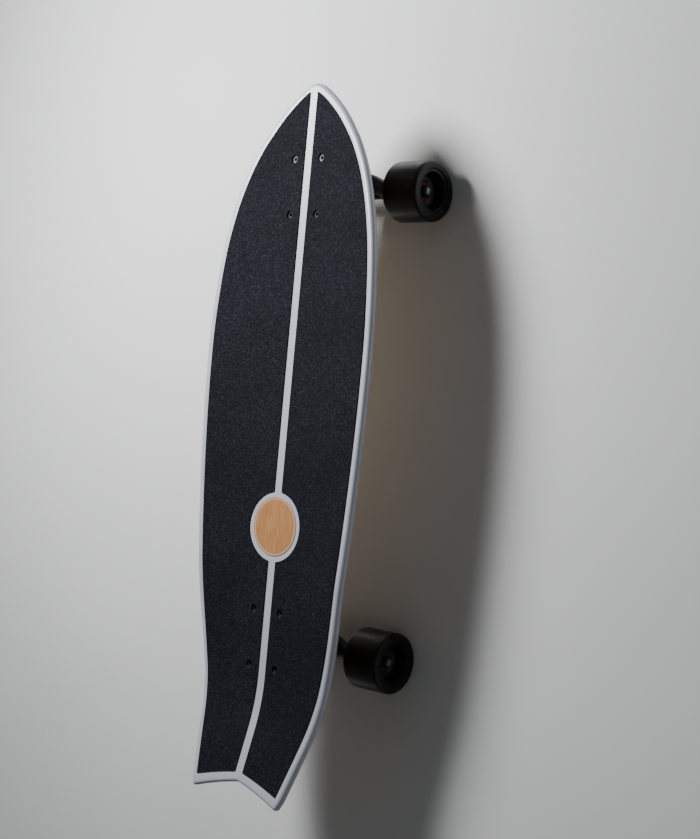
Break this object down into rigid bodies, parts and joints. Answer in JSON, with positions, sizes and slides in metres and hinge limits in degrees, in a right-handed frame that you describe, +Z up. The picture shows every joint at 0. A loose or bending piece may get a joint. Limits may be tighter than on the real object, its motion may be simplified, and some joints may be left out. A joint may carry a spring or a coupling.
{
  "type": "surf skateboard",
  "caption": "Swallow-tailed surf skateboard with a kicked tail, a front truck on a sprung swivel arm, a leaning rear truck and freely rolling wheels.",
  "frame": {"origin": "on the ground under the middle of the board's length, between the left and right wheels", "axes": "+X to the nose, +Y to the left of a rider facing the nose, +Z up; millimetre source, the board standing on its four wheels"},
  "size_m": [0.81, 0.2548, 0.1532],
  "materials": {
    "painted_ply": "painted pale grey, satin",
    "grit": "charcoal grit sheet",
    "badge_ply": "orange-tan wood look, satin",
    "black_metal": "black powder coat on cast aluminium",
    "steel": "zinc-plated steel",
    "black_steel": "black oxide steel",
    "riser_rubber": "black riser rubber",
    "urethane": "black cast urethane, satin",
    "core": "black moulded hub",
    "shield": "dark red bearing shield",
    "bushing": "dark grey urethane"
  },
  "bodies": {
    "deck": {"deck": "painted_ply", "griptape_left": "grit", "griptape_right": "grit", "deck_badge": "badge_ply", "front_riser_pad": "riser_rubber", "front_baseplate": "black_metal", "front_mount_bolt_1": "black_steel", "front_mount_bolt_2": "black_steel", "front_mount_bolt_3": "steel", "front_mount_bolt_4": "steel", "swivel_pivot_bolt": "steel", "swivel_pivot_nut": "steel", "swivel_thrust_bearing": "steel", "swivel_spring": "steel", "rear_riser_pad": "riser_rubber", "rear_baseplate": "black_metal", "rear_mount_bolt_1": "black_steel", "rear_mount_bolt_2": "black_steel", "rear_mount_bolt_3": "black_steel", "rear_mount_bolt_4": "black_steel", "rear_kingpin": "steel", "rear_kingpin_nut": "steel", "rear_bushing_upper": "bushing", "rear_bushing_lower": "bushing", "rear_washer_upper": "steel", "rear_washer_lower": "steel", "rear_pivot_cup": "bushing"},
    "swivel_arm": {"swivel_arm": "black_metal", "front_kingpin": "steel", "front_kingpin_nut": "steel", "front_bushing_upper": "bushing", "front_bushing_lower": "bushing", "front_washer_upper": "steel", "front_washer_lower": "steel", "front_pivot_cup": "bushing"},
    "front_hanger": {"front_hanger": "black_metal", "front_axle": "steel", "front_left_axle_nut": "steel", "front_right_axle_nut": "steel"},
    "rear_hanger": {"rear_hanger": "black_metal", "rear_axle": "steel", "rear_left_axle_nut": "steel", "rear_right_axle_nut": "steel"},
    "front_left_wheel": {"front_left_tyre": "urethane", "front_left_core": "core", "front_left_bearing_outer": "shield", "front_left_bearing_inner": "shield"},
    "front_right_wheel": {"front_right_tyre": "urethane", "front_right_core": "core", "front_right_bearing_outer": "shield", "front_right_bearing_inner": "shield"},
    "rear_left_wheel": {"rear_left_tyre": "urethane", "rear_left_core": "core", "rear_left_bearing_outer": "shield", "rear_left_bearing_inner": "shield"},
    "rear_right_wheel": {"rear_right_tyre": "urethane", "rear_right_core": "core", "rear_right_bearing_outer": "shield", "rear_right_bearing_inner": "shield"}
  },
  "joints": [
    {"name": "front_swivel", "type": "hinge", "parent": "deck", "child": "swivel_arm", "pos_m": [0.34225, 0, 0.1037], "axis": [0.1219, 0, 0.9925], "range_deg": [-25, 25], "stiffness_Nm_per_rad": 12, "deforming": ["swivel_spring"]},
    {"name": "front_lean", "type": "hinge", "parent": "swivel_arm", "child": "front_hanger", "pos_m": [0.28782, 0, 0.041], "axis": [0.788, 0, 0.6157], "range_deg": [-18, 18], "stiffness_Nm_per_rad": 60, "deforming": ["front_bushing_upper", "front_bushing_lower"]},
    {"name": "rear_lean", "type": "hinge", "parent": "deck", "child": "rear_hanger", "pos_m": [-0.26575, 0, 0.0677], "axis": [-0.8822, 0, 0.471], "range_deg": [-18, 18], "stiffness_Nm_per_rad": 60, "deforming": ["rear_bushing_upper", "rear_bushing_lower"]},
    {"name": "front_left_spin", "type": "hinge", "parent": "front_hanger", "child": "front_left_wheel", "pos_m": [0.29275, 0.089, 0.0347], "axis": [0, 1, 0], "continuous": true},
    {"name": "front_right_spin", "type": "hinge", "parent": "front_hanger", "child": "front_right_wheel", "pos_m": [0.29275, -0.089, 0.0347], "axis": [0, 1, 0], "continuous": true},
    {"name": "rear_left_spin", "type": "hinge", "parent": "rear_hanger", "child": "rear_left_wheel", "pos_m": [-0.24105, 0.094, 0.0347], "axis": [0, 1, 0], "continuous": true},
    {"name": "rear_right_spin", "type": "hinge", "parent": "rear_hanger", "child": "rear_right_wheel", "pos_m": [-0.24105, -0.094, 0.0347], "axis": [0, 1, 0], "continuous": true}
  ]
}
